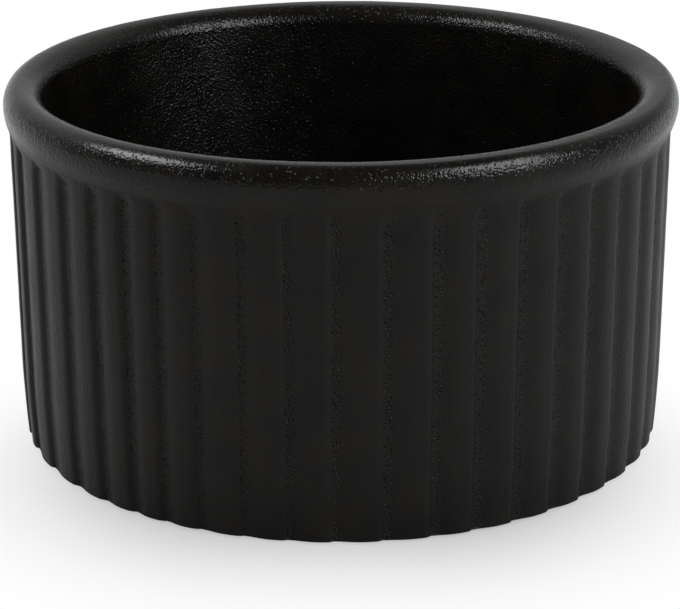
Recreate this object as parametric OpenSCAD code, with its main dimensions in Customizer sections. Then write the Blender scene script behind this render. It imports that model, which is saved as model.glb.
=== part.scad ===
// A round baking dish in black stoneware, with upright ribs and a rolled rim.
// One fired clay body carries two fired-on coats of glaze.
// The dish stands on the XY plane, its axis is Z, and the origin is the centre of its foot.
// All sizes are those of the finished, glazed dish, in millimetres.

/* [Dish] */
// Diameter across the widest line of the rim
rim_d = 90.8; // [70:0.2:130]
// Height from the table to the top of the rim
dish_h = 49; // [32:0.5:90]

/* [Rim] */
// Height of the rim band, from its lower end on the wall to the top
rim_h = 5.9; // [4:0.1:12]
// Width of the rim, from its widest line to the bowl
rim_w = 5.6; // [5.2:0.1:8]
// How far the rim stands out past the ribs
rim_overhang = 0.9; // [0.3:0.05:1.5]
// How far the rim's outer face draws in from its widest line up to the top
rim_outer_r = 2; // [0.6:0.1:2.2]
// Rounding of the rim's inner upper edge
rim_inner_r = 3.1; // [1:0.1:3.3]
// Rounding of the rim's lower edge
rim_lower_r = 5; // [0.6:0.1:8]
// Radius of the hollow where the wall runs into the rim
neck_r = 0.8; // [0.5:0.1:3]

/* [Wall] */
// How far the wall draws in from the rim down to the table
wall_taper = 0.3; // [0:0.1:4]
// Number of ribs round the wall
rib_count = 48; // [24:1:60]
// Width of the groove between two ribs, from crest to crest
groove_w = 4.4; // [2:0.1:4.4]
// Depth of the groove between two ribs
groove_depth = 0.5; // [0.3:0.05:1]
// Share of the groove's width that its steep side takes
steep_share = 0.25; // [0.2:0.05:0.5]

/* [Bowl] */
// Thickness from the table to the floor of the bowl
floor_t = 5; // [3.5:0.1:8]
// How far the bowl narrows from the rim down to its floor
bowl_draft = 1.5; // [0:0.1:4]
// Rounding where the bowl's wall meets its floor
bowl_corner_r = 9; // [2:0.5:14]

/* [Foot] */
// Rounding of the bottom edge of the wall
foot_edge_r = 0.6; // [0.6:0.1:1.5]
// Width of the flat bare ring that the dish stands on
foot_ring_w = 5; // [2:0.5:10]
// Depth of the hollow inside the foot ring
foot_hollow_h = 1; // [0.5:0.1:1.8]

/* [Glaze] */
// Thickness of the fired glaze
glaze_t = 0.3; // [0.15:0.05:0.4]
// Height above the table at which the glaze ends, on the rounded bottom edge
bare_band_h = 0.3; // [0.1:0.05:0.5]

/* [Hidden] */

// Facets round a full turn, and along a rounded edge of the section
turn_facets = 240;
arc_steps = 8;
// Facets on one flank of a groove, and how sharply the groove dips in its middle
flank_steps = 4;
groove_power = 1.6;
// How far a cutter runs past what it cuts
overrun = 1;

rim_r = rim_d / 2;
wall_top_r = rim_r - rim_overhang;
wall_base_r = wall_top_r - wall_taper;
bowl_top_r = rim_r - rim_w;
bowl_floor_r = bowl_top_r - bowl_draft;
neck_z = dish_h - rim_h;
taper_angle = atan(wall_taper / neck_z);
// Turn of the two arcs that lead from the wall out to the rim
sweep_angle = acos(1 - rim_overhang / (neck_r + rim_lower_r));
rim_lower_z = neck_z + (neck_r + rim_lower_r) * sin(sweep_angle);
rim_face_h = dish_h - rim_lower_z;

// Radius of the rib crests at height z, on the finished dish
function wall_r(z) = wall_base_r + wall_taper * z / neck_z;

// Points of an oval with the half width r and the half height h, from angle a to angle b
function oval(cx, cz, r, h, a, b) =
    [for (i = [0 : arc_steps]) let (t = a + (b - a) * i / arc_steps) [cx + r * cos(t), cz + h * sin(t)]];

// Points of an arc from angle a to angle b, both included
function arc(cx, cz, r, a, b) = oval(cx, cz, r, r, a, b);

// Place across a groove of the share s, where 0 is its deepest line and 1 and -1 are its edges
function groove_place(s) = groove_w * s * (s < 0 ? steep_share : 1 - steep_share);

// Depth of a groove at the share s
function groove_dip(s) = groove_depth * pow(1 - abs(s), groove_power);

// The section above the bottom edge, from the wall over the rim to the middle of the bowl.
// The surface lies the coat c under the finished one.
function upper_section(c) = concat(
    arc(wall_top_r - c + neck_r, neck_z, neck_r, 180, 180 - sweep_angle),
    arc(rim_r - rim_lower_r - c, rim_lower_z, rim_lower_r, -sweep_angle, 0),
    oval(rim_r - rim_outer_r, rim_lower_z, rim_outer_r - c, rim_face_h - c, 0, 90),
    arc(bowl_top_r + rim_inner_r, dish_h - rim_inner_r, rim_inner_r - c, 90, 180),
    arc(bowl_floor_r - bowl_corner_r, floor_t + bowl_corner_r, bowl_corner_r + c, 0, -90),
    [[0, floor_t - c]]
);

// The clay's section from the middle of the foot hollow out to the bottom edge
foot_out_r = wall_r(foot_edge_r) - glaze_t - foot_edge_r;
foot_in_r = foot_out_r - foot_ring_w;
clay_hollow_h = foot_hollow_h + glaze_t;
foot_section = concat(
    [[0, clay_hollow_h], [foot_in_r - clay_hollow_h, clay_hollow_h], [foot_in_r, 0]],
    arc(foot_out_r, foot_edge_r, foot_edge_r, -90, 0)
);

// The underside of the block that the main glaze is cut from.
// It lies inside the clay, and comes out where the glaze ends on the rounded bottom edge.
core_z = (clay_hollow_h + floor_t - glaze_t) / 2;
glaze_edge_r = foot_edge_r + glaze_t;
glaze_end_angle = asin((foot_edge_r - bare_band_h) / glaze_edge_r);
glaze_underside = concat(
    [[0, core_z], [foot_in_r, core_z]],
    arc(foot_out_r, foot_edge_r, glaze_edge_r, -glaze_end_angle, 0)
);

// One groove cutter, upright at the crest line, with its deepest line on the X axis
module groove(c) {
    flank = [for (i = [-flank_steps : flank_steps]) i / flank_steps];
    translate([wall_base_r - c, 0, 0])
        rotate([0, taper_angle, 0])
            translate([0, 0, -overrun])
                linear_extrude(neck_z + c + overrun)
                    polygon(concat(
                        [[overrun, groove_place(-1)]],
                        [for (s = flank) [-groove_dip(s), groove_place(s)]],
                        [[overrun, groove_place(1)]]
                    ));
}

// All groove cutters, for the surface that lies the coat c under the finished one
module grooves(c) {
    for (i = [0 : rib_count - 1])
        rotate([0, 0, 360 * i / rib_count])
            groove(c);
}

module clay_form() {
    difference() {
        rotate_extrude($fn = turn_facets)
            polygon(concat(foot_section, upper_section(glaze_t)));
        grooves(glaze_t);
    }
}

// The fired clay: floor, wall with its ribs, rim and foot ring
module clay_body() {
    color([0.16, 0.14, 0.13])
        clay_form();
}

// The coat over the bowl, the rim and the ribs, down to the bottom edge
module main_glaze() {
    color([0.09, 0.09, 0.1])
        difference() {
            rotate_extrude($fn = turn_facets)
                polygon(concat(glaze_underside, upper_section(0)));
            grooves(0);
            clay_form();
        }
}

// The patch of glaze in the hollow under the dish
module foot_glaze() {
    color([0.11, 0.11, 0.12])
        rotate_extrude($fn = turn_facets)
            polygon([
                [0, foot_hollow_h],
                [foot_in_r - foot_hollow_h, foot_hollow_h],
                [foot_in_r - clay_hollow_h, clay_hollow_h],
                [0, clay_hollow_h]
            ]);
}

clay_body();
main_glaze();
foot_glaze();
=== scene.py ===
import math

import bpy
from bpy.props import FloatProperty, FloatVectorProperty, IntProperty, PointerProperty
from bpy.types import Operator, Panel, PropertyGroup
from mathutils import Matrix, Vector


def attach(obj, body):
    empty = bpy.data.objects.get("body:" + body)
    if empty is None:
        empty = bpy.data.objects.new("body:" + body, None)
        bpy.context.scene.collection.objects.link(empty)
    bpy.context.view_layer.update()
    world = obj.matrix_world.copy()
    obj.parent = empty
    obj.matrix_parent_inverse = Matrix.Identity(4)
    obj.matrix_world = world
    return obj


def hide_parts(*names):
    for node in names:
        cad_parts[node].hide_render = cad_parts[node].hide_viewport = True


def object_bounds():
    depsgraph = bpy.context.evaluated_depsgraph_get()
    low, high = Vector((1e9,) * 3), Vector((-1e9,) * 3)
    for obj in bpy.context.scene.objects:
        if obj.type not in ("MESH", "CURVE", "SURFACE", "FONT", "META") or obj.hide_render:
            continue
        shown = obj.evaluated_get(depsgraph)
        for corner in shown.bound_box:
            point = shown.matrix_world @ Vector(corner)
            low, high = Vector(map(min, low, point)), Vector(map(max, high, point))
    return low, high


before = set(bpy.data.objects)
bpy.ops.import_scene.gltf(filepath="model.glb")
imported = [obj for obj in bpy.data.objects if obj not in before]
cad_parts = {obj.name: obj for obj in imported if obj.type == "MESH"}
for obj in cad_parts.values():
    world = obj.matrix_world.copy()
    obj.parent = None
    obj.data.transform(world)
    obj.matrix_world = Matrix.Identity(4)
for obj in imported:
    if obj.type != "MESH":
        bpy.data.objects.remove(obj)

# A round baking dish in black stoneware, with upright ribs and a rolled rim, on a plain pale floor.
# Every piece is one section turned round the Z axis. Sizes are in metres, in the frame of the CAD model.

bl_info = {
    "name": "Ribbed baking dish",
    "version": (1, 0, 0),
    "blender": (4, 5, 0),
    "location": "3D View > Sidebar > Baking dish",
    "description": "Builds a ribbed stoneware baking dish and the studio that it stands in",
    "category": "Add Mesh",
}

CAD_LOWEST, CAD_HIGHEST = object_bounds()
MM = 0.001


def length(name, description, default, low, high):
    """A size in metres that the sidebar shows as a length. The three numbers are in millimetres."""
    return FloatProperty(
        name=name, description=description, default=default * MM, min=low * MM, max=high * MM,
        unit="LENGTH", precision=5,
    )


def share(name, description, default):
    """A share from 0 to 1."""
    return FloatProperty(name=name, description=description, default=default, min=0, max=1, subtype="FACTOR")


class DishSizes(PropertyGroup):
    """Sizes of the finished dish. The rim's diameter and the height come from the CAD model."""

    rim_diameter: length("Rim diameter", "Across the widest line of the rim",
                         (CAD_HIGHEST.x - CAD_LOWEST.x) / MM, 70, 130)
    height: length("Height", "From the table to the top of the rim", CAD_HIGHEST.z / MM, 32, 90)
    rim_height: length("Rim height", "From the rim's lower end on the wall to its top", 5.9, 4, 12)
    rim_width: length("Rim width", "From the widest line of the rim to the bowl", 5.6, 5.2, 8)
    rim_bulge: length("Rim bulge", "How much further out the rim stands on the fuller side", 0.25, 0, 0.5)
    rim_overhang: length("Rim overhang", "How far the rim stands out past the ribs", 0.65, 0.3, 1.5)
    rim_outer_radius: length("Rim outer rounding", "How far the outer face draws in up to the top",
                             2.2, 0.6, 2.2)
    rim_fullness: length("Rim fullness", "How much further out the top stands on the fuller side",
                         0.8, 0, 1.5)
    rim_inner_radius: length("Rim inner rounding", "Rounding of the inner upper edge", 3, 1, 3.1)
    rim_lower_radius: length("Rim lower rounding", "Rounding of the rim's lower edge", 6.4, 0.6, 8)
    neck_radius: length("Neck radius", "Hollow where the wall runs into the rim", 0.8, 0.5, 3)
    wall_taper: length("Wall taper", "How far the wall draws in down to the table", 0.05, 0, 4)
    foot_draw: length("Foot draw", "How much further the wall draws in near the table", 0.42, 0, 2)
    foot_draw_height: length("Foot draw height", "Height over which the wall draws in further", 12, 1, 30)
    bowl_draft: length("Bowl draft", "How far the bowl narrows down to its floor", 1.5, 0, 4)
    bowl_corner_radius: length("Bowl corner", "Rounding where the bowl meets its floor", 9, 2, 14)
    floor_thickness: length("Floor thickness", "From the table to the bowl's floor", 5, 3.5, 8)
    foot_edge_radius: length("Foot edge", "Rounding of the clay's bottom edge", 0.45, 0.4, 1.5)
    foot_ring_width: length("Foot ring", "Width of the flat bare ring", 5, 2, 10)
    foot_hollow: length("Foot hollow", "Depth of the hollow inside the foot ring", 1, 0.5, 1.8)
    glaze_thickness: length("Glaze thickness", "Thickness of the fired glaze", 0.3, 0.15, 0.4)
    bare_band: length("Bare band", "Height above the table at which the glaze ends", 0.3, 0.1, 0.5)


class DishRibs(PropertyGroup):
    """The ribs round the wall, and how far a hand-made mould strays from an even one."""

    count: IntProperty(name="Ribs", description="Number of ribs round the wall", default=48, min=24, max=60)
    groove_depth: length("Groove depth", "Depth of a groove below the crests", 0.52, 0.1, 1)
    phase: share("Phase", "Place of the first groove, as a share of the rib spacing", 0.16)
    unevenness: share("Unevenness", "How far a groove strays, as a share of the rib spacing", 0.02)
    wander: length("Wander", "How far a groove wanders sideways on its way down", 0.12, 0, 0.5)
    relief: length("Relief", "Height of the soft waves in the glaze", 0.035, 0, 0.2)
    relief_size: length("Relief size", "Width of the soft waves in the glaze", 3.2, 1, 20)
    seed: IntProperty(name="Seed", description="Start value of the random shapes", default=7, min=0)


class DishFinish(PropertyGroup):
    """Colours and skin of the glaze and of the bare clay."""

    glaze_color: FloatVectorProperty(name="Glaze", description="Colour of the black glaze", subtype="COLOR",
                                     size=3, min=0, max=1, default=(0.0054, 0.0044, 0.0033))
    clay_color: FloatVectorProperty(name="Clay", description="Colour of the bare clay", subtype="COLOR",
                                    size=3, min=0, max=1, default=(0.03, 0.027, 0.024))
    gloss: share("Gloss", "Strength of the reflections at the shader's own scale", 0.17)
    roughness: share("Roughness", "Middle roughness of the glaze on the ribs", 0.45)
    rim_roughness: share("Rim roughness", "Middle roughness of the glaze where it is pebbled", 0.2)
    pebble_size: length("Pebble size", "Width of one pebble in the glaze's skin", 0.3, 0.1, 3)
    pebble_depth: length("Pebble depth", "Height of the pebbles", 0.11, 0, 1)


class DishStudio(PropertyGroup):
    """The camera that the photograph was taken with, the room and the lamps."""

    camera_distance: length("Camera distance", "Level distance from the dish's axis", 300, 100, 2000)
    camera_height: length("Camera height", "Height above the table", 125.6, 0, 2000)
    camera_azimuth: FloatProperty(name="Camera azimuth", description="Turn of the camera round the dish",
                                  default=0.02832, subtype="ANGLE")
    camera_heading: FloatProperty(name="Camera heading", description="Turn of the view from the Y axis",
                                  default=0.02915, subtype="ANGLE")
    camera_tilt: FloatProperty(name="Camera tilt", description="How far the camera looks down",
                               default=0.35686, subtype="ANGLE")
    camera_roll: FloatProperty(name="Camera roll", description="Turn of the picture", default=-0.00388,
                               subtype="ANGLE")
    lens: FloatProperty(name="Lens", description="Focal length in millimetres", default=121)
    shift_x: FloatProperty(name="Shift X", description="Sideways shift of the picture", default=0.0015)
    shift_y: FloatProperty(name="Shift Y", description="Upward shift of the picture", default=0.0187)
    ambient: FloatProperty(name="Ambient", description="Brightness of the room, as it lights the dish",
                           default=0.5, min=0)
    mirrored_room: FloatProperty(name="Mirrored room", description="Brightness of the room in the gloss",
                                 default=0.2, min=0)
    top_power: FloatProperty(name="Top lamp", description="Power of the lamp above, for all but the gloss",
                             default=2.3, min=0, unit="POWER")
    left_power: FloatProperty(name="Left strip", description="Power of the left lamp, for the gloss alone",
                              default=2.8, min=0, unit="POWER")
    right_power: FloatProperty(name="Right strip", description="Power of the right lamp, for the gloss alone",
                               default=5, min=0, unit="POWER")


class Wiring:
    """Adds nodes to a tree and links them, so that a formula reads as one."""

    def __init__(self, tree):
        self.tree = tree

    def add(self, kind, **settings):
        node = self.tree.nodes.new(kind)
        for name, value in settings.items():
            setattr(node, name, value)
        return node

    def feed(self, socket, value):
        """Links a socket to another socket, or sets it to a plain value."""
        if isinstance(value, bpy.types.NodeSocket):
            self.tree.links.new(value, socket)
        else:
            socket.default_value = value

    def feed_named(self, node, **values):
        """Feeds the inputs that are in use, by name, with _ for a space."""
        for name, value in values.items():
            wanted = name.replace("_", " ")
            socket = next(s for s in node.inputs if s.enabled and s.name == wanted)
            self.feed(socket, value)
        return node

    def maths(self, operation, *values):
        node = self.add("ShaderNodeMath", operation=operation)
        for socket, value in zip(node.inputs, values):
            self.feed(socket, value)
        return node.outputs[0]

    def ramp(self, value, from_low, from_high, to_low=0.0, to_high=1.0):
        """Maps a value from one range to another, with soft ends."""
        node = self.add("ShaderNodeMapRange", interpolation_type="SMOOTHSTEP")
        for socket, number in zip(node.inputs, (value, from_low, from_high, to_low, to_high)):
            self.feed(socket, number)
        return node.outputs[0]

    def noise(self, vector, scale, detail=2.0, roughness=0.5, seed=0):
        """Noise from 0 to 1. The scale is the number of its grains to a metre."""
        node = self.add("ShaderNodeTexNoise", noise_dimensions="4D")
        self.feed_named(node, Vector=vector, W=seed, Scale=scale, Detail=detail, Roughness=roughness)
        return node.outputs[0]

    def curve(self, value, knots):
        """A smooth curve through points whose places and heights are shares from 0 to 1."""
        node = self.add("ShaderNodeFloatCurve")
        line = node.mapping.curves[0]
        line.points[0].location, line.points[1].location = knots[0], knots[-1]
        for place, height in knots[1:-1]:
            line.points.new(place, height)
        for point in line.points:
            point.handle_type = "AUTO_CLAMPED"
        node.mapping.update()
        self.feed_named(node, Value=value)
        return node.outputs[0]


# Sections
# A point is (radius, height) and four shares: of the groove's depth, of the glaze's waves, of its grain
# and of the rim's gloss.

# Steps of an arc: on the bottom edge, where the surface is seen, and where it is hidden.
# The rounding of the rim's inner edge has a few more.
EDGE_STEPS = 6
ARC_STEPS = 9
HIDDEN_STEPS = 4
INNER_EXTRA_STEPS = 3

# Spacing of points on straight lines: on the glaze that is seen, on its hidden face, on the clay, and in
# the foot hollow. It is stretched on the bowl's wall and on its floor.
COAT_PACE = 1.3 * MM
HIDDEN_PACE = 8 * MM
CLAY_PACE = 4 * MM
HOLLOW_PACE = 5 * MM
BOWL_WALL_STRETCH = 1.5
BOWL_FLOOR_STRETCH = 2.5

# Height over which the grooves run out below the neck, and how deep they still are on the bottom edge
GROOVE_FADE = 1 * MM
EDGE_GROOVE_SHARE = 0.55

# The tiny bevel that keeps a sharp edge crisp
HAIRLINE = 0.02 * MM

# How strong the glaze's waves, its grain and its gloss are in places, beside where they are strongest
EDGE_WAVE_SHARE = 0.3
WALL_GRAIN_SHARE = 0.65
BOWL_GRAIN_SHARE = 1.0
CROWN_GRAIN_SHARE = 0.12
BOWL_GLOSS_SHARE = 0.6

# Where the grain changes on the rim, as shares of the height of its outer face: how high the shoulder
# reaches, how far below the top the crown starts, and over what height its grain fades
SHOULDER_SHARE = 0.3
CROWN_HEIGHT_SHARE = 0.42
CROWN_FADE_SHARE = 0.17


def spaced(start, end, pace):
    """Numbers from start to end, about a pace apart, without the first."""
    steps = max(1, round(abs(end - start) / pace))
    return [start + (end - start) * i / steps for i in range(1, steps + 1)]


def eased(value):
    """A share that starts and ends softly, for a value that runs from 0 to 1."""
    value = min(1.0, max(0.0, value))
    return value * value * (3 - 2 * value)


def arc(radius_centre, height_centre, radius, start, end, steps=ARC_STEPS, height=None):
    """Points of an arc from one angle to another, in degrees, both ends included.

    With a height it is an arc of an ellipse that is that high.
    """
    turns = [math.radians(start + (end - start) * i / steps) for i in range(steps + 1)]
    rise = radius if height is None else height
    return [(radius_centre + radius * math.cos(t), height_centre + rise * math.sin(t)) for t in turns]


class Profile:
    """Measures of the section that several pieces share."""

    def __init__(self, sizes):
        self.sizes = sizes
        self.rim = sizes.rim_diameter / 2 - sizes.rim_bulge
        self.wall_top = self.rim - sizes.rim_overhang
        self.neck_height = sizes.height - sizes.rim_height
        self.bowl_top = sizes.rim_diameter / 2 - sizes.rim_width
        self.bowl_floor = self.bowl_top - sizes.bowl_draft
        reach = sizes.neck_radius + sizes.rim_lower_radius
        self.sweep = math.degrees(math.acos(1 - sizes.rim_overhang / reach))
        self.lower_height = self.neck_height + reach * math.sin(math.radians(self.sweep))
        self.face = sizes.height - self.lower_height
        self.foot_outer = (self.wall(sizes.foot_edge_radius) - sizes.glaze_thickness
                           - sizes.foot_edge_radius)
        self.foot_inner = self.foot_outer - sizes.foot_ring_width
        glaze_edge = sizes.foot_edge_radius + sizes.glaze_thickness
        self.glaze_end = math.degrees(math.asin((sizes.foot_edge_radius - sizes.bare_band) / glaze_edge))

    def wall(self, height):
        """Radius of the rib crests at a height."""
        s = self.sizes
        drawn = s.foot_draw * max(0.0, 1 - height / s.foot_draw_height) ** 2
        return self.wall_top - s.wall_taper * (1 - height / self.neck_height) - drawn

    def skin(self, cover, edge_start, pace, steps):
        """The surface that lies a cover under the finished one, from the bottom edge to the bowl's middle.

        The pace is the spacing of points on straight lines, the steps are those of one arc.
        """
        s = self.sizes
        points = []
        edge_radius = s.foot_edge_radius + s.glaze_thickness - cover
        for r, z in arc(self.foot_outer, s.foot_edge_radius, edge_radius, edge_start, 0, EDGE_STEPS):
            down = 1 - max(0.0, z / s.foot_edge_radius)
            points.append((r, z, 1 - (1 - EDGE_GROOVE_SHARE) * down))
        for z in spaced(s.foot_edge_radius, self.neck_height - GROOVE_FADE, pace):
            points.append((self.wall(z) - cover, z, 1.0))
        line = arc(self.wall_top - cover + s.neck_radius, self.neck_height, s.neck_radius,
                   180, 180 - self.sweep, steps)
        line += arc(self.rim - s.rim_lower_radius - cover, self.lower_height, s.rim_lower_radius,
                    -self.sweep, 0, steps)[1:]
        line += arc(self.rim - s.rim_outer_radius, self.lower_height,
                    s.rim_outer_radius - cover, 0, 90, 2 * steps, self.face - cover)[1:]
        line += arc(self.bowl_top + s.rim_inner_radius, s.height - s.rim_inner_radius,
                    s.rim_inner_radius - cover, 90, 180, steps + INNER_EXTRA_STEPS)
        corner = arc(self.bowl_floor - s.bowl_corner_radius, s.floor_thickness + s.bowl_corner_radius,
                     s.bowl_corner_radius + cover, 0, -90, steps)
        top_r, top_z = line[-1]
        low_r, low_z = corner[0]
        line += [(top_r + (low_r - top_r) * (z - top_z) / (low_z - top_z), z)
                 for z in spaced(top_z, low_z, BOWL_WALL_STRETCH * pace)[:-1]]
        line += corner
        line += [(r, line[-1][1]) for r in spaced(line[-1][0], 0, BOWL_FLOOR_STRETCH * pace)]
        return points + [(r, z, 0.0) for r, z in line]


def waved(points, waves, profile):
    """Adds the shares of the glaze's waves, of its grain and of the rim's gloss to points of a section.

    The grain is coarse in the bowl and on the shoulder of the rim, finer on the wall, and nearly gone on
    the crown.
    """
    s = profile.sizes
    result = []
    for r, z, ribbed in points:
        shoulder = eased((z - profile.lower_height) / (SHOULDER_SHARE * profile.face))
        crown = eased((z - s.height + CROWN_HEIGHT_SHARE * profile.face) / (CROWN_FADE_SHARE * profile.face))
        low = WALL_GRAIN_SHARE if r > profile.bowl_top else BOWL_GRAIN_SHARE
        coarse = low + (1 - low) * shoulder
        grain = coarse + (CROWN_GRAIN_SHARE - coarse) * crown
        above_neck = eased((z - profile.neck_height) / (profile.lower_height - profile.neck_height))
        gloss = above_neck if r > profile.bowl_top else BOWL_GLOSS_SHARE
        result.append((r, z, ribbed, waves, grain, gloss))
    return result


def coat_section(profile):
    """The main glaze: from its underside's middle out to its end, and back over its outer face."""
    s = profile.sizes
    inside = profile.skin(s.glaze_thickness, -profile.glaze_end, HIDDEN_PACE, HIDDEN_STEPS)
    outside = profile.skin(0.0, -profile.glaze_end, COAT_PACE, ARC_STEPS)
    return (waved(reversed(inside), 0.0, profile) + waved(outside[:2], EDGE_WAVE_SHARE, profile)
            + waved(outside[2:], 1.0, profile))


def foot_hollow(profile, depth):
    """The hollow under the dish at a depth, from its middle to where it meets the foot ring."""
    rim_of_hollow = profile.foot_inner - depth
    return [(r, depth) for r in [0.0] + spaced(0, rim_of_hollow, HOLLOW_PACE)]


def clay_section(profile):
    """The fired clay: from the hollow's middle over the foot ring and up round the whole wall."""
    s = profile.sizes
    under = foot_hollow(profile, s.foot_hollow + s.glaze_thickness)
    under += [(under[-1][0] + HAIRLINE, under[-1][1] - HAIRLINE)]
    under += [(profile.foot_inner - HAIRLINE, HAIRLINE), (profile.foot_inner, 0.0)]
    under += [(profile.foot_inner + HAIRLINE, 0.0)]
    under += [(r, 0.0) for r in spaced(profile.foot_inner, profile.foot_outer, MM)[:-1]]
    body = profile.skin(s.glaze_thickness, -90, CLAY_PACE, HIDDEN_STEPS)
    return waved([(r, z, 0.0) for r, z in under] + body, 0.0, profile)


def patch_section(profile):
    """The glaze in the hollow under the dish: its lower face out, its upper face back."""
    s = profile.sizes
    lower = foot_hollow(profile, s.foot_hollow)
    upper = foot_hollow(profile, s.foot_hollow + s.glaze_thickness)
    shown = [(r, z, 0.0) for r, z in lower]
    hidden = [(r, z, 0.0) for r, z in reversed(upper)]
    return waved(shown, 1.0, profile) + waved(hidden, 0.0, profile)


# The tree that turns a section

# Points closer together than this are merged, where the turned sheet's ends meet and on the axis
SEAM = 0.001 * MM

TURNED_INPUTS = [
    ("Ribs", "NodeSocketInt"),
    ("Columns per rib", "NodeSocketInt"),
    ("Groove depth", "NodeSocketFloat"),
    ("Phase", "NodeSocketFloat"),
    ("Unevenness", "NodeSocketFloat"),
    ("Wander", "NodeSocketFloat"),
    ("Relief", "NodeSocketFloat"),
    ("Relief size", "NodeSocketFloat"),
    ("Seed", "NodeSocketInt"),
    ("Material", "NodeSocketMaterial"),
]

# How strongly the columns bunch on the steep side of a rib
BUNCHING = 1.6

# Added to a column's number so that its rib is never rounded down to the one before
ROUNDING = 0.001

# Width of the wander's swings, spread of the grooves' depths, and width of the pitted stripe in a groove
WANDER_GRAIN = 14 * MM
DEPTH_SPREAD = 0.15
PITTED_WIDTH = 1.5 * MM

# The soft waves lie on the section where their noise has this level, and below it nearly everywhere
WAVE_TOP = 0.8

# What turns a share of the turn from +X into one from the back
FROM_BACK = 0.75

# The rim is fullest in this direction. It goes from the section's own form to the fullest one while the
# cosine of the turn from there goes through this reach.
FULLER_SIDE = math.radians(5)
FULLER_REACH = (-0.6, 0.3)

# One rib from the bottom of a groove to the bottom of the next one, in the direction of the turn:
# the place as a share of the rib spacing, and the dip below the crest as a share of the groove's depth.
# A rib rises gently on one side and drops steeply on the other, as the shingles of a roof do.
CREST_PLACE = 0.62
RIB_OUTLINE_SHARES = (
    (0, 1), (0.08, 0.97), (0.16, 0.86), (0.24, 0.66), (0.32, 0.42), (0.4, 0.22), (0.5, 0.07),
    (CREST_PLACE, 0), (0.75, 0.02), (0.84, 0.06), (0.89, 0.16), (0.93, 0.38), (0.965, 0.74),
    (0.985, 0.93), (1, 1),
)

# How the grooves of the hand-made mould stray from even spacing, round the dish from back to back:
# the place as a share of the turn, and 0.5 plus the stray as a share of the rib spacing.
STRAY_SHARES = (
    (0, 0.5), (0.27, 0.45), (0.31, 0.15), (0.333, 0.43), (0.354, 0.62), (0.375, 0.66), (0.396, 0.6),
    (0.417, 0.45), (0.438, 0.35), (0.458, 0.39), (0.5, 0.38), (0.521, 0.47), (0.542, 0.54), (0.583, 0.51),
    (0.625, 0.53), (0.667, 0.54), (0.688, 0.54), (0.75, 0.5), (1, 0.5),
)


def random_by(w, number, low, high, seed):
    """A random value from low to high that is the same for the same whole number."""
    node = w.add("FunctionNodeRandomValue", data_type="FLOAT")
    w.feed_named(node, Min=low, Max=high, ID=number, Seed=seed)
    return next(s for s in node.outputs if s.enabled)


def stored_value(w, name):
    """A number that the points of the geometry carry under a name."""
    return w.feed_named(w.add("GeometryNodeInputNamedAttribute", data_type="FLOAT"), Name=name).outputs[0]


def section_value(w, section, row, name=None):
    """What the section holds at a row: its position, or a named attribute."""
    if name is None:
        sample = w.add("GeometryNodeSampleIndex", data_type="FLOAT_VECTOR", domain="POINT")
        value = w.add("GeometryNodeInputPosition").outputs[0]
    else:
        sample = w.add("GeometryNodeSampleIndex", data_type="FLOAT", domain="POINT")
        value = stored_value(w, name)
    w.feed_named(sample, Geometry=section, Value=value, Index=row)
    return sample.outputs[0]


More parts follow.
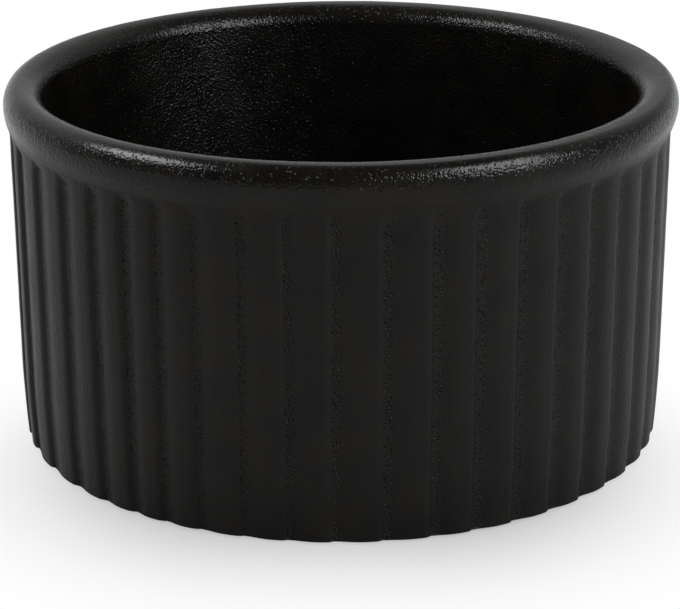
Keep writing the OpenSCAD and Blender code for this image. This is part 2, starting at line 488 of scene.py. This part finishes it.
def turned_form_tree():
    """Turns a section round the Z axis, presses grooves between its ribs and lays soft waves on it."""
    tree = bpy.data.node_groups.new("Turned ribbed form", "GeometryNodeTree")
    tree.interface.new_socket("Geometry", in_out="OUTPUT", socket_type="NodeSocketGeometry")
    tree.interface.new_socket("Section", in_out="INPUT", socket_type="NodeSocketGeometry")
    for name, kind in TURNED_INPUTS:
        tree.interface.new_socket(name, in_out="INPUT", socket_type=kind)
    w = Wiring(tree)
    given = w.add("NodeGroupInput").outputs

    # A flat sheet with a column for each step round the dish and a row for each point of the section
    columns = w.maths("MULTIPLY", given["Ribs"], given["Columns per rib"])
    counted = w.feed_named(w.add("GeometryNodeAttributeDomainSize", component="MESH"),
                           Geometry=given["Section"])
    sheet = w.add("GeometryNodeMeshGrid")
    w.feed_named(sheet, Size_X=1.0, Size_Y=1.0, Vertices_X=w.maths("ADD", columns, 1.0),
                 Vertices_Y=counted.outputs["Point Count"])
    place = w.add("ShaderNodeSeparateXYZ")
    w.feed(place.inputs[0], w.add("GeometryNodeInputPosition").outputs[0])
    column = w.maths("ROUND", w.maths("MULTIPLY", w.maths("ADD", place.outputs[0], 0.5), columns))
    last_row = w.maths("SUBTRACT", counted.outputs["Point Count"], 1.0)
    row = w.maths("ROUND", w.maths("MULTIPLY", w.maths("ADD", place.outputs[1], 0.5), last_row))

    # The rib that a column lies on, and how far across it, with the columns closer on the steep side
    rib = w.maths("FLOOR", w.maths("DIVIDE", w.maths("ADD", column, ROUNDING), given["Columns per rib"]))
    step = w.maths("DIVIDE", w.maths("SUBTRACT", column, w.maths("MULTIPLY", rib, given["Columns per rib"])),
                   given["Columns per rib"])
    across = w.maths("SUBTRACT", 1.0, w.maths("POWER", w.maths("SUBTRACT", 1.0, step), BUNCHING))

    def whole_number(number):
        """The groove's number, with the last one the same as the first."""
        return w.maths("FLOORED_MODULO", number, given["Ribs"])

    def groove_place(number):
        """Where the groove of that number lies, in rib spacings."""
        number_round = whole_number(number)
        from_back = w.maths("ADD", w.maths("DIVIDE", number_round, given["Ribs"]), FROM_BACK)
        from_back = w.maths("FRACT", from_back)
        drift = w.maths("SUBTRACT", w.curve(from_back, STRAY_SHARES), 0.5)
        chance = random_by(w, number_round, -1.0, 1.0, given["Seed"])
        stray = w.maths("ADD", drift, w.maths("MULTIPLY", chance, given["Unevenness"]))
        return w.maths("ADD", w.maths("ADD", number, given["Phase"]), stray)

    next_rib = w.maths("ADD", rib, 1.0)
    first, second = groove_place(rib), groove_place(next_rib)
    spacing = w.maths("SUBTRACT", second, first)
    between = w.maths("MULTIPLY", spacing, across)
    turn = w.maths("MULTIPLY", w.maths("DIVIDE", w.maths("ADD", first, between), given["Ribs"]), math.tau)

    point = w.add("ShaderNodeSeparateXYZ")
    w.feed(point.inputs[0], section_value(w, given["Section"], row))
    radius, height = point.outputs[0], point.outputs[2]
    ribbed = section_value(w, given["Section"], row, "ribbed")

    # The rim stands further out on its fuller side
    facing = w.maths("COSINE", w.maths("SUBTRACT", turn, FULLER_SIDE))
    full = section_value(w, given["Section"], row, "full")
    radius = w.maths("ADD", radius, w.maths("MULTIPLY", w.ramp(facing, *FULLER_REACH), full))

    # The dip below the section, with a depth of its own for each groove
    def groove_depth(number):
        return random_by(w, whole_number(number), 1 - DEPTH_SPREAD, 1 + DEPTH_SPREAD,
                         w.maths("ADD", given["Seed"], 1.0))

    steep_side = w.maths("GREATER_THAN", across, CREST_PLACE)
    own_depth = w.maths("ADD", w.maths("MULTIPLY", steep_side, groove_depth(next_rib)),
                        w.maths("MULTIPLY", w.maths("SUBTRACT", 1.0, steep_side), groove_depth(rib)))
    own_depth = w.maths("MULTIPLY", given["Groove depth"], own_depth)
    dip = w.maths("MULTIPLY", w.curve(across, RIB_OUTLINE_SHARES), own_depth)
    dip = w.maths("MULTIPLY", dip, ribbed)

    # Wander is a slow sideways drift of the ribs on their way down
    def round_place(angle, reach):
        spot = w.add("ShaderNodeCombineXYZ")
        w.feed(spot.inputs[0], w.maths("MULTIPLY", w.maths("COSINE", angle), reach))
        w.feed(spot.inputs[1], w.maths("MULTIPLY", w.maths("SINE", angle), reach))
        w.feed(spot.inputs[2], height)
        return spot.outputs[0]

    drift = w.noise(round_place(turn, radius), 1 / WANDER_GRAIN, detail=1.0, seed=given["Seed"])
    swing = w.maths("MULTIPLY", given["Wander"], 2.0)
    drift = w.maths("MULTIPLY", w.maths("SUBTRACT", drift, 0.5), swing)
    drift = w.maths("MULTIPLY", w.maths("DIVIDE", drift, w.maths("MAXIMUM", radius, MM)), ribbed)
    moved = round_place(w.maths("ADD", turn, drift), w.maths("SUBTRACT", radius, dip))

    # The glaze is thin and pitted just past the steep side of each rib
    rib_width = w.maths("DIVIDE", w.maths("MULTIPLY", radius, math.tau), given["Ribs"])
    past = w.maths("DIVIDE", w.maths("MULTIPLY", between, rib_width), PITTED_WIDTH)
    pitted = w.maths("MULTIPLY", w.maths("MAXIMUM", 0.0, w.maths("SUBTRACT", 1.0, past)), ribbed)
    mesh = sheet.outputs["Mesh"]
    stored = {name: section_value(w, given["Section"], row, name) for name in ("waves", "grain", "rim")}
    stored["groove"] = pitted
    for name, value in stored.items():
        store = w.add("GeometryNodeStoreNamedAttribute", data_type="FLOAT", domain="POINT")
        w.feed_named(store, Geometry=mesh, Name=name, Value=value)
        mesh = store.outputs["Geometry"]
    turned = w.feed_named(w.add("GeometryNodeSetPosition"), Geometry=mesh, Position=moved)
    closed = w.feed_named(w.add("GeometryNodeMergeByDistance"), Geometry=turned.outputs[0], Distance=SEAM)

    # Soft waves along the surface's own direction
    here = w.add("GeometryNodeInputPosition").outputs[0]
    swell = w.noise(here, w.maths("DIVIDE", 1.0, given["Relief size"]), seed=given["Seed"])
    full_height = w.maths("MULTIPLY", given["Relief"], 2.0)
    lift = w.maths("MULTIPLY", w.maths("SUBTRACT", swell, WAVE_TOP), full_height)
    lift = w.maths("MULTIPLY", lift, stored_value(w, "waves"))
    push = w.add("ShaderNodeVectorMath", operation="SCALE")
    w.feed_named(push, Vector=w.add("GeometryNodeInputNormal").outputs[0], Scale=lift)
    waved_form = w.feed_named(w.add("GeometryNodeSetPosition"), Geometry=closed.outputs[0],
                              Offset=push.outputs["Vector"])
    smooth = w.feed_named(w.add("GeometryNodeSetShadeSmooth"), Geometry=waved_form.outputs[0])
    real = w.feed_named(w.add("GeometryNodeRealizeInstances"), Geometry=smooth.outputs[0])
    dressed = w.feed_named(w.add("GeometryNodeSetMaterial"), Geometry=real.outputs[0],
                           Material=given["Material"])
    w.feed(w.add("NodeGroupOutput").inputs[0], dressed.outputs[0])
    return tree


def fullness(point, profile):
    """How much further out a point of the rim's outer face stands on the fuller side of the dish."""
    r, z = point[:2]
    s = profile.sizes
    top = profile.rim - s.rim_outer_radius
    if z < profile.neck_height or r < top:
        return 0.0
    if z < profile.lower_height:
        return s.rim_bulge * (z - profile.neck_height) / (profile.lower_height - profile.neck_height)
    return s.rim_bulge + (s.rim_fullness - s.rim_bulge) * (profile.rim - r) / (profile.rim - top)


def turned_piece(name, points, material, inputs, profile):
    """Makes one piece from a section: the tree's result as a plain mesh."""
    mesh = bpy.data.meshes.new(name)
    chain = [(i, i + 1) for i in range(len(points) - 1)]
    mesh.from_pydata([(point[0], 0.0, point[1]) for point in points], chain, [])
    shares = {attribute: [point[column] for point in points]
              for column, attribute in enumerate(("ribbed", "waves", "grain", "rim"), start=2)}
    shares["full"] = [fullness(point, profile) for point in points]
    for attribute, values in shares.items():
        layer = mesh.attributes.new(attribute, "FLOAT", "POINT")
        layer.data.foreach_set("value", values)
    piece = bpy.data.objects.new(name, mesh)
    bpy.context.scene.collection.objects.link(piece)
    tree = bpy.data.node_groups.get("Turned ribbed form") or turned_form_tree()
    modifier = piece.modifiers.new("Turned form", "NODES")
    modifier.node_group = tree
    sockets = {item.name: item.identifier for item in tree.interface.items_tree if item.in_out == "INPUT"}
    for label, value in inputs.items():
        modifier[sockets[label]] = value
    modifier[sockets["Material"]] = material
    depsgraph = bpy.context.evaluated_depsgraph_get()
    result = bpy.data.meshes.new_from_object(piece.evaluated_get(depsgraph), preserve_all_data_layers=True,
                                             depsgraph=depsgraph)
    piece.modifiers.remove(modifier)
    piece.data = result
    bpy.data.meshes.remove(mesh)
    result.name = name
    return piece


def rib_inputs(ribs, columns, relief):
    """The tree's inputs for a piece that has the ribs."""
    return {
        "Ribs": ribs.count,
        "Columns per rib": columns,
        "Groove depth": ribs.groove_depth,
        "Phase": ribs.phase,
        "Unevenness": ribs.unevenness,
        "Wander": ribs.wander,
        "Relief": relief,
        "Relief size": ribs.relief_size,
        "Seed": ribs.seed,
    }


# Materials

# The pebbled skin: how much wider its soft grain is than its cells, the weight of the cells, and the
# patches in which it is higher
COARSER_GRAIN = 1.5
CELL_SHARE = 0.6
PATCH_SIZE = 9 * MM
PATCH_REACH = (0.35, 0.65, 0.6, 1.0)

# The pitted stripe in each groove: its soft edge, how coarse its grain is, and its pits
STRIPE_REACH = (0.0, 0.6)
STRIPE_GRAIN_SHARE = 0.9
PIT_SIZE = 0.45 * MM
PIT_REACH = (0.1, 0.45)
PIT_SHARE = 1.5

# The rim and the bowl: a soft mottle and small pores
MOTTLE_SIZE = 0.7 * MM
MOTTLE_SHARE = 0.4
PORE_SIZE = 0.6 * MM
PORE_REACH = (0.08, 0.3)
PORE_SHARE = 0.45

# Shades of the glaze's colour, in clouds and in specks, and the spread of its roughness
CLOUD_SIZE = 6 * MM
CLOUD_REACH = (0.3, 0.7)
SPECK_SIZE = 0.4 * MM
SPECK_SEED = 5
SHADE_REACH = (0.7, 1.3)
SHADE_FACTORS = (0.5, 1.65)
ROUGHNESS_SPREAD = 0.03

# The foot's glaze beside the main one
FOOT_PEBBLE_WIDTH = 1.6
FOOT_PEBBLE_HEIGHT = 0.7
FOOT_CLOUD_SIZE = 8 * MM
FOOT_COLOR_FACTOR = 1.4
FOOT_SMOOTHNESS = 0.12

# The clay's sand and its light specks
SAND_SIZE = 0.25 * MM
SAND_DEPTH = 0.03 * MM
CLAY_SPECK_SIZE = 0.6 * MM
CLAY_SPECK_SEED = 3
CLAY_SPECK_REACH = (0.6, 0.7)
CLAY_SPECK_FACTOR = 2.2
CLAY_ROUGHNESS = 0.85
CLAY_GLOSS = 0.25


def shader(name):
    """A new material, its wiring, its shader and the place of a point on the object."""
    material = bpy.data.materials.new(name)
    material.use_nodes = True
    w = Wiring(material.node_tree)
    surface = material.node_tree.nodes["Principled BSDF"]
    place = w.add("ShaderNodeTexCoord").outputs["Object"]
    return material, w, surface, place


def bumped(w, surface, height, distance):
    """Gives a shader a bump whose height of 1 stands for a distance."""
    bump = w.add("ShaderNodeBump")
    w.feed_named(bump, Height=height, Distance=distance, Strength=1.0)
    w.feed(surface.inputs["Normal"], bump.outputs["Normal"])


def toned(w, surface, factor, first, second):
    """Gives a shader a colour between two, by a factor from 0 to 1."""
    tone = w.add("ShaderNodeMix", data_type="RGBA")
    w.feed(next(s for s in tone.inputs if s.enabled and s.name == "Factor"), factor)
    w.feed_named(tone, A=(*first, 1), B=(*second, 1))
    w.feed(surface.inputs["Base Color"], next(s for s in tone.outputs if s.enabled))


def dots(w, place, size, reach):
    """Round dots that lie about a size apart: 1 in their middles and 0 between them."""
    cells = w.add("ShaderNodeTexVoronoi", feature="F1")
    w.feed_named(cells, Vector=place, Scale=1 / size)
    return w.maths("SUBTRACT", 1.0, w.ramp(cells.outputs["Distance"], *reach))


def carried(w, name):
    """A number that the mesh carries under a name."""
    return w.add("ShaderNodeAttribute", attribute_name=name).outputs["Fac"]


def pebbled(w, place, size):
    """The pebbled skin of a satin glaze: rounded grains of two sizes, higher in some patches."""
    cells = w.add("ShaderNodeTexVoronoi", feature="SMOOTH_F1")
    w.feed_named(cells, Vector=place, Scale=1 / size, Smoothness=0.5)
    grain = w.noise(place, 1 / (COARSER_GRAIN * size))
    pebbles = w.maths("SUBTRACT", grain, w.maths("MULTIPLY", cells.outputs["Distance"], CELL_SHARE))
    patches = w.ramp(w.noise(place, 1 / PATCH_SIZE), *PATCH_REACH)
    return w.maths("MULTIPLY", pebbles, patches)


def black_glaze(finish):
    """Satin black glaze: pebbled on the rim and in the bowl, finer on the ribs, pitted along the grooves."""
    material, w, surface, place = shader("Black satin glaze")
    rim = carried(w, "rim")
    pitted = w.ramp(carried(w, "groove"), *STRIPE_REACH)
    coarse = w.maths("MAXIMUM", carried(w, "grain"), w.maths("MULTIPLY", pitted, STRIPE_GRAIN_SHARE))
    height = w.maths("MULTIPLY", pebbled(w, place, finish.pebble_size), coarse)
    pits = w.maths("MULTIPLY", dots(w, place, PIT_SIZE, PIT_REACH), pitted)
    height = w.maths("SUBTRACT", height, w.maths("MULTIPLY", pits, PIT_SHARE))
    mottle = w.maths("MULTIPLY", w.noise(place, 1 / MOTTLE_SIZE, detail=3.0, roughness=0.6), rim)
    height = w.maths("ADD", height, w.maths("MULTIPLY", mottle, MOTTLE_SHARE))
    pores = w.maths("MULTIPLY", dots(w, place, PORE_SIZE, PORE_REACH), rim)
    height = w.maths("SUBTRACT", height, w.maths("MULTIPLY", pores, PORE_SHARE))
    bumped(w, surface, height, finish.pebble_depth)
    cloud = w.noise(place, 1 / CLOUD_SIZE, detail=3.0, roughness=0.6)
    specks = w.noise(place, 1 / SPECK_SIZE, detail=3.0, roughness=0.7, seed=SPECK_SEED)
    dark, light = (Vector(finish.glaze_color) * k for k in SHADE_FACTORS)
    toned(w, surface, w.ramp(w.maths("ADD", cloud, specks), *SHADE_REACH), dark, light)
    level = w.ramp(rim, 0.0, 1.0, finish.roughness, finish.rim_roughness)
    spread = w.ramp(cloud, *CLOUD_REACH, -ROUGHNESS_SPREAD, ROUGHNESS_SPREAD)
    w.feed(surface.inputs["Roughness"], w.maths("ADD", level, spread))
    surface.inputs["Specular IOR Level"].default_value = finish.gloss
    return material


def foot_glaze(finish):
    """The thinner glaze under the foot, a little smoother."""
    material, w, surface, place = shader("Foot glaze")
    skin = pebbled(w, place, FOOT_PEBBLE_WIDTH * finish.pebble_size)
    bumped(w, surface, skin, FOOT_PEBBLE_HEIGHT * finish.pebble_depth)
    cloud = w.noise(place, 1 / FOOT_CLOUD_SIZE, detail=3.0, roughness=0.6)
    surface.inputs["Base Color"].default_value = (*(Vector(finish.glaze_color) * FOOT_COLOR_FACTOR), 1)
    w.feed(surface.inputs["Roughness"],
           w.ramp(cloud, *CLOUD_REACH, finish.roughness - FOOT_SMOOTHNESS, finish.roughness))
    surface.inputs["Specular IOR Level"].default_value = finish.gloss
    return material


def bare_clay(finish):
    """Bare dark stoneware, dry and sandy."""
    material, w, surface, place = shader("Bare stoneware")
    bumped(w, surface, w.noise(place, 1 / SAND_SIZE, detail=4.0, roughness=0.7), SAND_DEPTH)
    specks = w.ramp(w.noise(place, 1 / CLAY_SPECK_SIZE, seed=CLAY_SPECK_SEED), *CLAY_SPECK_REACH)
    toned(w, surface, specks, finish.clay_color, Vector(finish.clay_color) * CLAY_SPECK_FACTOR)
    surface.inputs["Roughness"].default_value = CLAY_ROUGHNESS
    surface.inputs["Specular IOR Level"].default_value = CLAY_GLOSS
    return material


# The studio

WHITE = (1, 1, 1, 1)
PAPER = (0.86, 0.86, 0.86, 1)
FLOOR_HALF = 3.0
FLOOR_DROP = 0.02 * MM

# A painted white glow fades the floor's real shadow out over this reach, counted from a short line across the
# view. Then come half of the line's length, and how far the line lies in front of the dish's axis.
SHADOW_REACH = (-6 * MM, 52 * MM)
SHADOW_HALF = 11 * MM
SHADOW_FORWARD = 20 * MM

# How bright the floor's painted white glow is in the gloss: more with the distance from the dish, less from
# front to back
MIRRORED_REACH = (60 * MM, 170 * MM)
MIRRORED_SHARES = (0.4, 0.6)
MIRRORED_DEPTH = (-80 * MM, 80 * MM)
MIRRORED_DEPTH_FACTORS = (1.08, 0.8)

# Where the white backdrop starts behind the dish, and how it dims from left to right.
# Its brightness in the gloss goes with the sine of the height over the floor.
BACKDROP_START = (-0.3, 0.5)
BACKDROP_FADE = (-0.3, 0.3, 0.97, 0.62)
BACKDROP_SHARES = (
    (0, 0.6), (0.09, 0.5), (0.17, 0.41), (0.26, 0.33), (0.36, 0.4), (0.48, 0.65), (0.6, 0.9),
    (0.72, 0.75), (0.85, 0.25), (1, 0),
)

# Place, width and height of each lamp in metres, and the point that all of them look at
TOP_LAMP = ((0, 0.2, 0.6), 0.5, 0.42)
LEFT_STRIP = ((-0.421, -0.045, 0.465), 0.25, 0.2)
RIGHT_STRIP = ((0.488, -0.305, 0.355), 0.32, 0.36)
LAMP_AIM = Vector((0, 0, 30 * MM))

# The camera's picture width in millimetres, and its nearest and furthest distance
SENSOR_WIDTH = 36
CLIP = (0.01, 20)


def ray_kinds(w):
    """1 where the camera sees a point itself, and 1 where glaze or glass shows it."""
    path = w.add("ShaderNodeLightPath").outputs
    return path["Is Camera Ray"], w.maths("MAXIMUM", path["Is Glossy Ray"], path["Is Transmission Ray"])


def span(w, across, along):
    """The length of a level line, from how far it goes across and along."""
    return w.maths("SQRT", w.maths("ADD", w.maths("POWER", w.maths("ABSOLUTE", across), 2.0),
                                   w.maths("POWER", w.maths("ABSOLUTE", along), 2.0)))


def blended(w, factor, first, second):
    """A shader between two, by a factor from 0 to 1."""
    node = w.add("ShaderNodeMixShader")
    for socket, value in zip(node.inputs, (factor, first, second)):
        w.feed(socket, value)
    return node.outputs[0]


def white_floor():
    """Pale floor that keeps the dish's shadow and turns into the white background further out. The shadow's
    fade and shape are painted, by a white glow that a mask lays over the floor.
    """
    material = bpy.data.materials.new("Pale floor")
    material.use_nodes = True
    w = Wiring(material.node_tree)
    w.tree.nodes.clear()
    paper = w.feed_named(w.add("ShaderNodeBsdfDiffuse"), Color=PAPER)
    glow = w.feed_named(w.add("ShaderNodeEmission"), Color=WHITE, Strength=1.0)
    clear = w.add("ShaderNodeBsdfTransparent")
    place = w.add("ShaderNodeSeparateXYZ")
    w.feed(place.inputs[0], w.add("ShaderNodeTexCoord").outputs["Object"])
    across, along = place.outputs[0], place.outputs[1]

    # A painted white glow covers the real shadow outside a patch that lies in front of the dish and is wider
    # than it is deep
    beside = w.maths("MAXIMUM", 0.0, w.maths("SUBTRACT", w.maths("ABSOLUTE", across), SHADOW_HALF))
    far = w.ramp(span(w, beside, w.maths("ADD", along, SHADOW_FORWARD)), *SHADOW_REACH)
    direct, mirrored = ray_kinds(w)
    shown = w.maths("MULTIPLY", w.ramp(span(w, across, along), *MIRRORED_REACH, *MIRRORED_SHARES),
                    w.ramp(along, *MIRRORED_DEPTH, *MIRRORED_DEPTH_FACTORS))
    seen = w.maths("MAXIMUM", direct, w.maths("MULTIPLY", mirrored, shown))
    lit = blended(w, w.maths("MULTIPLY", far, seen), paper.outputs[0], glow.outputs[0])

    # From below the floor is clear, so that the underside can be looked at
    under = w.add("ShaderNodeNewGeometry").outputs["Backfacing"]
    w.feed(w.add("ShaderNodeOutputMaterial").inputs["Surface"], blended(w, under, lit, clear.outputs[0]))
    return material


def white_world(ambient, mirrored_room):
    """A white background for what is seen, and a plain soft level for what lights the dish.

    A mirrored ray meets the white backdrop behind the dish, and the dim room elsewhere.
    """
    world = bpy.data.worlds.new("White room")
    world.use_nodes = True
    w = Wiring(world.node_tree)
    direction = w.add("ShaderNodeSeparateXYZ")
    w.feed(direction.inputs[0], w.add("ShaderNodeTexCoord").outputs["Generated"])
    backdrop = w.maths("MULTIPLY", w.curve(direction.outputs[2], BACKDROP_SHARES),
                       w.ramp(direction.outputs[1], *BACKDROP_START))
    backdrop = w.maths("MULTIPLY", backdrop, w.ramp(direction.outputs[0], *BACKDROP_FADE))
    direct, mirrored = ray_kinds(w)
    shown = w.maths("MAXIMUM", direct, w.maths("MULTIPLY", mirrored, w.maths("ADD", backdrop, mirrored_room)))
    plain = w.maths("SUBTRACT", 1.0, w.maths("MAXIMUM", direct, mirrored))
    strength = w.maths("ADD", shown, w.maths("MULTIPLY", plain, ambient))
    background = world.node_tree.nodes["Background"]
    background.inputs["Color"].default_value = WHITE
    w.feed(background.inputs["Strength"], strength)
    return world


def lamp(name, place, width, height, power, for_gloss):
    """A soft lamp that looks at the dish and isn't seen itself. It lights the gloss alone, or all but it."""
    data = bpy.data.lights.new(name, "AREA")
    data.shape = "RECTANGLE"
    data.size, data.size_y = width, height
    data.energy = power
    lamp_object = bpy.data.objects.new(name, data)
    lamp_object.location = place
    lamp_object.rotation_euler = (LAMP_AIM - Vector(place)).to_track_quat("-Z", "Y").to_euler()
    lamp_object.visible_camera = False
    lamp_object.visible_diffuse = not for_gloss
    lamp_object.visible_glossy = for_gloss
    bpy.context.scene.collection.objects.link(lamp_object)


def camera(studio):
    """The camera, where the outlines of the dish in the photograph put it."""
    data = bpy.data.cameras.new("Camera")
    data.sensor_width = SENSOR_WIDTH
    data.lens = studio.lens
    data.shift_x, data.shift_y = studio.shift_x, studio.shift_y
    data.clip_start, data.clip_end = CLIP
    eye = Vector((studio.camera_distance * math.sin(studio.camera_azimuth),
                  -studio.camera_distance * math.cos(studio.camera_azimuth), studio.camera_height))
    camera_object = bpy.data.objects.new("Camera", data)
    camera_object.matrix_world = (
        Matrix.Translation(eye)
        @ Matrix.Rotation(studio.camera_heading, 4, "Z")
        @ Matrix.Rotation(math.pi / 2 - studio.camera_tilt, 4, "X")
        @ Matrix.Rotation(studio.camera_roll, 4, "Z")
    )
    bpy.context.scene.collection.objects.link(camera_object)
    bpy.context.scene.camera = camera_object


# Operators

# Columns of faces to one rib spacing, on the pieces with ribs and on the patch without
COAT_COLUMNS = 12
PATCH_COLUMNS = 4


class DISH_OT_studio(Operator):
    """Makes the floor, the white room, the lamps and the camera"""

    bl_idname = "dish.studio"
    bl_label = "Studio"

    def execute(self, context):
        studio = context.scene.dish_studio
        context.scene.view_settings.view_transform = "Standard"
        context.scene.world = white_world(studio.ambient, studio.mirrored_room)
        mesh = bpy.data.meshes.new("Floor")
        far = FLOOR_HALF
        corners = [(-far, -far), (far, -far), (far, far), (-far, far)]
        mesh.from_pydata([(x, y, -FLOOR_DROP) for x, y in corners], [], [(0, 1, 2, 3)])
        mesh.materials.append(white_floor())
        floor = bpy.data.objects.new("Floor", mesh)
        context.scene.collection.objects.link(floor)
        lamp("Top lamp", *TOP_LAMP, studio.top_power, for_gloss=False)
        lamp("Left strip", *LEFT_STRIP, studio.left_power, for_gloss=True)
        lamp("Right strip", *RIGHT_STRIP, studio.right_power, for_gloss=True)
        camera(studio)
        return {"FINISHED"}


class DISH_OT_main_glaze(Operator):
    """Makes the black glaze over the bowl, the rim and the ribs"""

    bl_idname = "dish.main_glaze"
    bl_label = "Main glaze"

    def execute(self, context):
        scene = context.scene
        profile = Profile(scene.dish_sizes)
        inputs = rib_inputs(scene.dish_ribs, COAT_COLUMNS, scene.dish_ribs.relief)
        material = black_glaze(scene.dish_finish)
        piece = turned_piece("glaze_coat", coat_section(profile), material, inputs, profile)
        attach(piece, "root")
        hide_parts("main_glaze")
        return {"FINISHED"}


class DISH_OT_clay_body(Operator):
    """Makes the fired clay, which shows at the foot ring and below the glaze's lower edge"""

    bl_idname = "dish.clay_body"
    bl_label = "Clay body"

    def execute(self, context):
        scene = context.scene
        profile = Profile(scene.dish_sizes)
        inputs = rib_inputs(scene.dish_ribs, COAT_COLUMNS, 0.0)
        material = bare_clay(scene.dish_finish)
        piece = turned_piece("stoneware_body", clay_section(profile), material, inputs, profile)
        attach(piece, "root")
        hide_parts("clay_body")
        return {"FINISHED"}


class DISH_OT_foot_glaze(Operator):
    """Makes the patch of glaze in the hollow under the dish"""

    bl_idname = "dish.foot_glaze"
    bl_label = "Foot glaze"

    def execute(self, context):
        scene = context.scene
        profile = Profile(scene.dish_sizes)
        inputs = rib_inputs(scene.dish_ribs, PATCH_COLUMNS, scene.dish_ribs.relief)
        material = foot_glaze(scene.dish_finish)
        piece = turned_piece("foot_patch", patch_section(profile), material, inputs, profile)
        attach(piece, "root")
        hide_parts("foot_glaze")
        return {"FINISHED"}


class DISH_PT_panel(Panel):
    """Lists the dish's pieces, its sizes and its finish"""

    bl_label = "Baking dish"
    bl_space_type = "VIEW_3D"
    bl_region_type = "UI"
    bl_category = "Baking dish"

    def draw(self, context):
        scene = context.scene
        for operator in (DISH_OT_studio, DISH_OT_main_glaze, DISH_OT_clay_body, DISH_OT_foot_glaze):
            self.layout.operator(operator.bl_idname)
        for group in (scene.dish_sizes, scene.dish_ribs, scene.dish_finish, scene.dish_studio):
            box = self.layout.box()
            for name in group.__annotations__:
                box.prop(group, name)


CLASSES = (
    DishSizes, DishRibs, DishFinish, DishStudio,
    DISH_OT_studio, DISH_OT_main_glaze, DISH_OT_clay_body, DISH_OT_foot_glaze, DISH_PT_panel,
)
GROUPS = {
    "dish_sizes": DishSizes,
    "dish_ribs": DishRibs,
    "dish_finish": DishFinish,
    "dish_studio": DishStudio,
}


def register():
    for cls in CLASSES:
        bpy.utils.register_class(cls)
    for name, group in GROUPS.items():
        setattr(bpy.types.Scene, name, PointerProperty(type=group))


def unregister():
    for name in GROUPS:
        delattr(bpy.types.Scene, name)
    for cls in reversed(CLASSES):
        bpy.utils.unregister_class(cls)


def main():
    register()
    bpy.ops.dish.studio()
    bpy.ops.dish.main_glaze()
    bpy.ops.dish.clay_body()
    bpy.ops.dish.foot_glaze()


if __name__ == "__main__":
    main()
